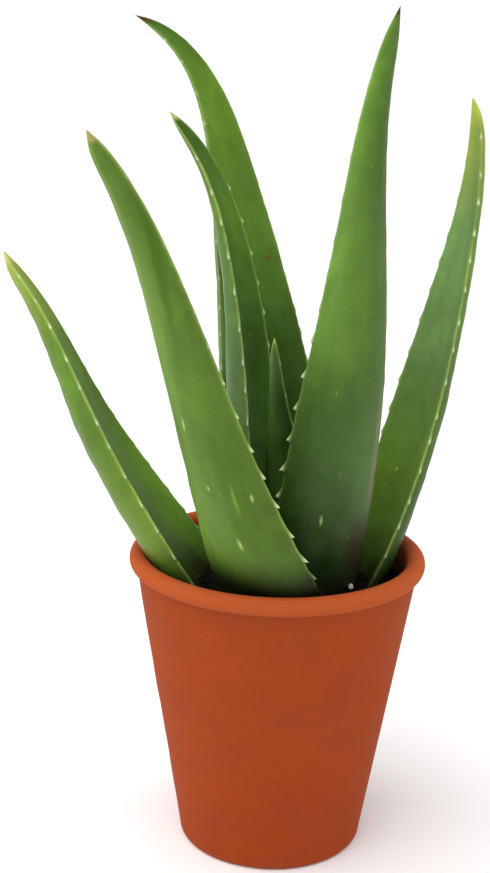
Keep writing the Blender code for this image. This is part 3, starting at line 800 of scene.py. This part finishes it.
def build_leaves():
    for leaf in LEAVES:
        add_piece(leaf.name + "_skin", leaf_mesh(leaf), leaf_material(leaf), "aloe_leaf", leaf.name)


# ----------------------------------------------------------------------- pot

def arc(centre_radius, centre_height, radius, start, stop, points):
    """Points along an arc of a profile; angles in degrees from outwards, up positive."""
    angles = [radians(start + (stop - start) * k / (points - 1)) for k in range(points)]
    return [(centre_radius + radius * cos(a), centre_height + radius * sin(a)) for a in angles]


def wall_radius(height):
    """Outer radius of the pot's straight wall at a height."""
    return BASE_RADIUS + (WALL_RADIUS_AT_TOP - BASE_RADIUS) * height / POT_HEIGHT


def spaced(profile, longest):
    """The profile with points added so that no step is longer than the given length."""
    result = []
    for start, stop in zip(profile, profile[1:] + profile[:1]):
        steps = max(1, int(Vector((stop[0] - start[0], stop[1] - start[1])).length / longest))
        for k in range(steps):
            share = k / steps
            result.append((start[0] + (stop[0] - start[0]) * share,
                           start[1] + (stop[1] - start[1]) * share))
    return result


def pot_profile():
    """Radius and height round the pot's wall, from the drain hole outside and back."""
    bead_height = POT_HEIGHT - RIM_BEAD_RADIUS
    bead_centre = RIM_OUTER_RADIUS - RIM_BEAD_RADIUS
    bead_foot = bead_height - BEAD_UNDERCUT
    floor_radius = wall_radius(FLOOR_THICKNESS) - WALL_THICKNESS
    foot_centre = wall_radius(FOOT_ROUNDING) - FOOT_ROUNDING
    profile = arc(DRAIN_HOLE_RADIUS + HOLE_ROUNDING, HOLE_ROUNDING, HOLE_ROUNDING, -180, -90, 5)
    profile += arc(foot_centre, FOOT_ROUNDING, FOOT_ROUNDING, -90, -8, 12)
    profile.append((wall_radius(bead_foot), bead_foot))
    profile += arc(bead_centre, bead_height, RIM_BEAD_RADIUS, BEAD_START, 180, 34)
    profile.append((wall_radius(bead_foot) - WALL_THICKNESS, bead_foot - 0.002))
    profile += arc(floor_radius - INNER_ROUNDING, FLOOR_THICKNESS + INNER_ROUNDING,
                   INNER_ROUNDING, 0, -90, 8)
    profile.append((DRAIN_HOLE_RADIUS, FLOOR_THICKNESS))
    return spaced(profile, POT_STEP)


def build_pot():
    """The clay pot, slightly uneven as turned clay is."""
    profile = np.array(pot_profile())
    angles = 2.0 * pi * np.arange(POT_SIDES) / POT_SIDES
    radius = profile[:, :1] + np.zeros((1, POT_SIDES))
    height = profile[:, 1:] + np.zeros((1, POT_SIDES))
    round_way = angles[None, :] * BASE_RADIUS
    uneven = ripples("pot", round_way, height, 2.0 * pi * BASE_RADIUS / 3.0)
    uneven = uneven * np.sin(angles / 2.0)[None, :] ** 2
    radius = radius - WALL_UNEVENNESS * (1.0 + uneven)
    points = np.stack([AXIS.x + radius * np.cos(angles), AXIS.y + radius * np.sin(angles), height], -1)
    faces = grid_faces(len(profile) + 1, POT_SIDES) % (len(profile) * POT_SIDES)
    mesh = bpy.data.meshes.new("clay_pot")
    mesh.from_pydata(points.reshape(-1, 3).tolist(), [], faces.tolist())
    turn_outwards(mesh)

    outside = radius > wall_radius(height) - 0.0012
    rim = np.clip((height - (POT_HEIGHT - 2.2 * RIM_BEAD_RADIUS)) / 0.002, 0.0, 1.0)
    foot = np.clip((0.004 - height) / 0.004, 0.0, 1.0) * outside
    inner = np.clip((wall_radius(height) - 0.0035 - radius) / 0.002, 0.0, 1.0)
    # the inner wall below the rim: partly damp clay, partly painted shade
    damp = inner * np.clip((POT_HEIGHT - 0.003 - height) / 0.008, 0.0, 1.0)
    # painted shadow line under the rim's bead
    crease = np.exp(-((height - (POT_HEIGHT - RIM_BEAD_RADIUS - BEAD_UNDERCUT)) / 0.0008) ** 2)
    damp = np.maximum(damp, 0.35 * crease * outside)
    set_attribute(mesh, "worn", np.maximum(rim * (1.0 - damp), 0.6 * foot).ravel())
    set_attribute(mesh, "damp", damp.ravel())
    add_piece("clay_pot", mesh, terracotta_material(), "terracotta", "pot")


# ---------------------------------------------------------------------- soil

def soil_radius(height):
    """Radius of the soil, just inside the pot's wall."""
    return wall_radius(height) - WALL_THICKNESS - SOIL_CLEARANCE


def soil_height(x, y):
    """Height of the crumbly soil surface at a place measured from the pot's axis."""
    share = np.hypot(x, y) / soil_radius(SOIL_TOP)
    mound = SOIL_TOP - SOIL_MOUND * share ** 2
    lumps = 0.0007 * ripples("soil", x, y, 0.022) + 0.0004 * ripples("clods", x, y, 0.007)
    return mound - 0.0006 + lumps


def build_soil():
    """The body of soil in the pot, with an uneven top."""
    angles = 2.0 * pi * np.arange(SOIL_SIDES) / SOIL_SIDES
    low = FLOOR_THICKNESS + SOIL_LIFT
    top_edge = SOIL_TOP - SOIL_MOUND
    places = [(soil_radius(top_edge) * k / SOIL_RINGS, None) for k in range(1, SOIL_RINGS + 1)]
    wall = np.linspace(top_edge - SOIL_CORNER, low + SOIL_CORNER, SOIL_WALL_RINGS)
    places += [(soil_radius(h), h) for h in wall]
    places += [(soil_radius(low) - SOIL_CORNER, low)]
    rings = []
    for radius, height in places:
        x = radius * np.cos(angles)
        y = radius * np.sin(angles)
        z = soil_height(x, y) if height is None else np.full(SOIL_SIDES, height)
        rings.append(np.stack([AXIS.x + x, AXIS.y + y, z], -1))
    ends = [[AXIS.x, AXIS.y, float(soil_height(0.0, 0.0))], [AXIS.x, AXIS.y, low]]
    points = np.vstack([np.concatenate(rings), ends])
    count = len(places) * SOIL_SIDES
    last = count - SOIL_SIDES
    faces = grid_faces(len(places), SOIL_SIDES).tolist()
    faces += [[(k + 1) % SOIL_SIDES, k, count] for k in range(SOIL_SIDES)]
    faces += [[last + k, last + (k + 1) % SOIL_SIDES, count + 1] for k in range(SOIL_SIDES)]
    mesh = bpy.data.meshes.new("potting_soil")
    mesh.from_pydata(points.tolist(), [], faces)
    turn_outwards(mesh)
    set_attribute(mesh, "tone", np.full(len(points), 0.9))
    material = soil_material()
    add_piece("potting_soil", mesh, material, "soil", "soil")
    build_crumbs(material)


def build_crumbs(material, count=1500):
    """Loose crumbs and bark chips lying on the soil."""
    chance = Random("crumbs")
    ball = bmesh.new()
    bmesh.ops.create_icosphere(ball, subdivisions=2, radius=1.0)
    base = np.array([vert.co for vert in ball.verts])
    base_faces = np.array([[vert.index for vert in face.verts] for face in ball.faces])
    ball.free()
    reach = soil_radius(SOIL_TOP) - 0.0012
    points, faces, tones = [], [], []
    for number in range(count):
        distance = reach * chance.random() ** 0.5
        bearing = chance.uniform(0.0, 2.0 * pi)
        x = distance * cos(bearing)
        y = distance * sin(bearing)
        size = 0.0004 + 0.0013 * chance.random() ** 3
        lumps = 1.0 + 0.30 * ripples(number, base[:, 0] + base[:, 2], base[:, 1], 2.4, 3)
        flatness = (1.0, chance.uniform(0.45, 1.0), chance.uniform(0.35, 0.9))
        turn = Euler([chance.uniform(0.0, 2.0 * pi) for _ in range(3)]).to_matrix()
        grain = (base * lumps[:, None] * flatness * size) @ np.array(turn).T
        z = float(soil_height(x, y)) + 0.35 * size
        grain = grain + (AXIS.x + x, AXIS.y + y, z)
        grain[:, 2] = np.minimum(grain[:, 2], SOIL_TOP + 0.0022)
        faces.append(base_faces + number * len(base))
        points.append(grain)
        tones.append(np.full(len(base), chance.uniform(0.5, 1.7)))
    mesh = bpy.data.meshes.new("soil_crumbs")
    mesh.from_pydata(np.vstack(points).tolist(), [], np.vstack(faces).tolist())
    set_attribute(mesh, "tone", np.concatenate(tones))
    add_piece("soil_crumbs", mesh, material, "soil")


def build_perlite():
    """The pale grains, angular and pitted, each in its node's box."""
    material = perlite_material()
    for name in sorted(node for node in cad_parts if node.startswith("perlite")):
        low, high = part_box(name)
        size = (high - low) / 2.0
        middle = (high + low) / 2.0
        chance = Random(name)
        cuts = []
        for _ in range(14):
            way = Vector([chance.gauss(0.0, 1.0) for _ in range(3)]).normalized()
            cuts.append((way, chance.uniform(0.78, 0.98)))
        bm = bmesh.new()
        bmesh.ops.create_icosphere(bm, subdivisions=4, radius=1.0)
        for vert in bm.verts:
            for way, reach in cuts:
                over = vert.co.dot(way) - reach
                if over > 0.0:
                    vert.co -= way * over * 0.9
            x, y, z = vert.co
            vert.co *= 1.0 - 0.05 * (1.0 + sin(9.0 * x + 3.0 * z) * cos(8.0 * y - 2.0 * x))
            vert.co = middle + Vector([a * b for a, b in zip(vert.co, size)])
        mesh = bpy.data.meshes.new(name + "_grain")
        bm.to_mesh(mesh)
        bm.free()
        add_piece(name + "_grain", mesh, material, "perlite", name)


# --------------------------------------------------------------------- crown

def build_crown():
    """The short stem with its dome of overlapping leaf bases."""
    centre = (CROWN_LOW + CROWN_HIGH) / 2.0
    radius_here = (CROWN_HIGH.x - CROWN_LOW.x) / 2.0
    stations = (0.0, 0.02, 0.25, 0.48, 0.66, 0.76, 0.86, 0.94, 0.985, 1.0)
    radii = (0.0, 0.23, 0.42, 0.60, 0.90, 1.0, 0.88, 0.63, 0.33, 0.0)
    shares = np.linspace(0.0, 1.0, 90)[1:-1]
    shares = 1.0 - (1.0 - shares) ** 1.3
    angles = 2.0 * pi * np.arange(CROWN_SIDES) / CROWN_SIDES
    radius = np.interp(shares, stations, radii)[:, None] * radius_here
    height = (CROWN_LOW.z + (CROWN_HIGH.z - CROWN_LOW.z) * shares)[:, None]
    lobes = np.abs(np.sin(2.5 * angles[None, :] + 7.0 * shares[:, None])) ** 0.6
    radius = radius * (0.90 + 0.10 * lobes) - 0.0004
    points = np.stack([centre.x + radius * np.cos(angles), centre.y + radius * np.sin(angles),
                       height + 0.0 * radius], -1).reshape(-1, 3)
    count = len(points)
    last = count - CROWN_SIDES
    ends = [[centre.x, centre.y, CROWN_LOW.z], [centre.x, centre.y, CROWN_HIGH.z - 0.0003]]
    points = np.vstack([points, ends])
    faces = grid_faces(len(shares), CROWN_SIDES).tolist()
    faces += [[(k + 1) % CROWN_SIDES, k, count] for k in range(CROWN_SIDES)]
    faces += [[last + k, last + (k + 1) % CROWN_SIDES, count + 1] for k in range(CROWN_SIDES)]
    mesh = bpy.data.meshes.new("leaf_bases")
    mesh.from_pydata(points.tolist(), [], faces)
    turn_outwards(mesh)
    set_attribute(mesh, "rise", points[:, 2] - SOIL_TOP)
    add_piece("leaf_bases", mesh, crown_material(), "aloe_crown", "crown")


# --------------------------------------------------------------------- studio

def add_light(name, place, aim, size, power):
    """A square softbox that looks at a point."""
    data = bpy.data.lights.new(name, "AREA")
    data.shape = "SQUARE"
    data.size = size
    data.energy = power
    light = bpy.data.objects.new(name, data)
    bpy.context.collection.objects.link(light)
    light.location = place
    light.rotation_mode = "QUATERNION"
    light.rotation_quaternion = (Vector(aim) - Vector(place)).to_track_quat("-Z", "Y")


def build_studio():
    """A pale floor, an even white surround, and soft lights."""
    bm = bmesh.new()
    bmesh.ops.create_circle(bm, cap_ends=True, segments=96, radius=FLOOR_RADIUS)
    mesh = bpy.data.meshes.new("floor")
    bm.to_mesh(mesh)
    bm.free()
    floor = bpy.data.objects.new("floor", mesh)
    bpy.context.collection.objects.link(floor)
    ground = Shader("pale_floor")
    ground.set(Base_Color=GROUND_TONE, Roughness=0.9, Specular_IOR_Level=0.1)
    mesh.materials.append(ground.material)

    build_surround()
    middle = (AXIS.x, AXIS.y, LIT_HEIGHT)
    for name, place, size, power in SOFTBOXES:
        add_light(name, place, middle, size, power)
    build_overhead()


def build_overhead():
    """A broad soft light from above, in front and to the left."""
    sun = bpy.data.lights.new("overhead", "SUN")
    sun.energy = OVERHEAD_STRENGTH
    sun.angle = radians(OVERHEAD_SPREAD)
    light = bpy.data.objects.new("overhead", sun)
    bpy.context.collection.objects.link(light)
    light.rotation_euler = [radians(turn) for turn in OVERHEAD_TURN]


def build_surround():
    """White studio walls, brightest near the floor's horizon."""
    world = bpy.data.worlds.new("studio")
    world.use_nodes = True
    nodes = world.node_tree.nodes
    links = world.node_tree.links
    way = nodes.new("ShaderNodeTexCoord")
    split = nodes.new("ShaderNodeSeparateXYZ")
    height = nodes.new("ShaderNodeMapRange")
    height.interpolation_type = "SMOOTHSTEP"
    height.inputs["From Min"].default_value = 0.05
    height.inputs["From Max"].default_value = 0.9
    height.inputs["To Min"].default_value = HORIZON_STRENGTH
    height.inputs["To Max"].default_value = ZENITH_STRENGTH
    links.new(way.outputs["Generated"], split.inputs["Vector"])
    links.new(split.outputs["Z"], height.inputs["Value"])
    links.new(height.outputs["Result"], nodes["Background"].inputs["Strength"])
    nodes["Background"].inputs["Color"].default_value = (1.0, 1.0, 1.0, 1.0)
    bpy.context.scene.world = world


def build_camera():
    """The view from in front, a little above the rim, turned slightly."""
    pitch = radians(CAMERA_PITCH)
    yaw = radians(CAMERA_YAW)
    roll = radians(CAMERA_ROLL)
    ahead = Vector((sin(yaw) * cos(pitch), cos(yaw) * cos(pitch), -sin(pitch)))
    data = bpy.data.cameras.new("camera")
    data.lens = LENS
    data.sensor_width = SENSOR_WIDTH
    data.clip_start = 0.01
    data.clip_end = 200.0
    camera = bpy.data.objects.new("camera", data)
    bpy.context.collection.objects.link(camera)
    camera.location = AXIS + Vector(CAMERA_PLACE)
    camera.rotation_mode = "QUATERNION"
    camera.rotation_quaternion = ahead.to_track_quat("-Z", "Y") @ Quaternion((0.0, 0.0, 1.0), roll)
    bpy.context.scene.camera = camera


build_camera()
build_studio()
build_pot()
build_soil()
build_perlite()
build_crown()
build_leaves()
bpy.context.scene.view_settings.view_transform = "Standard"
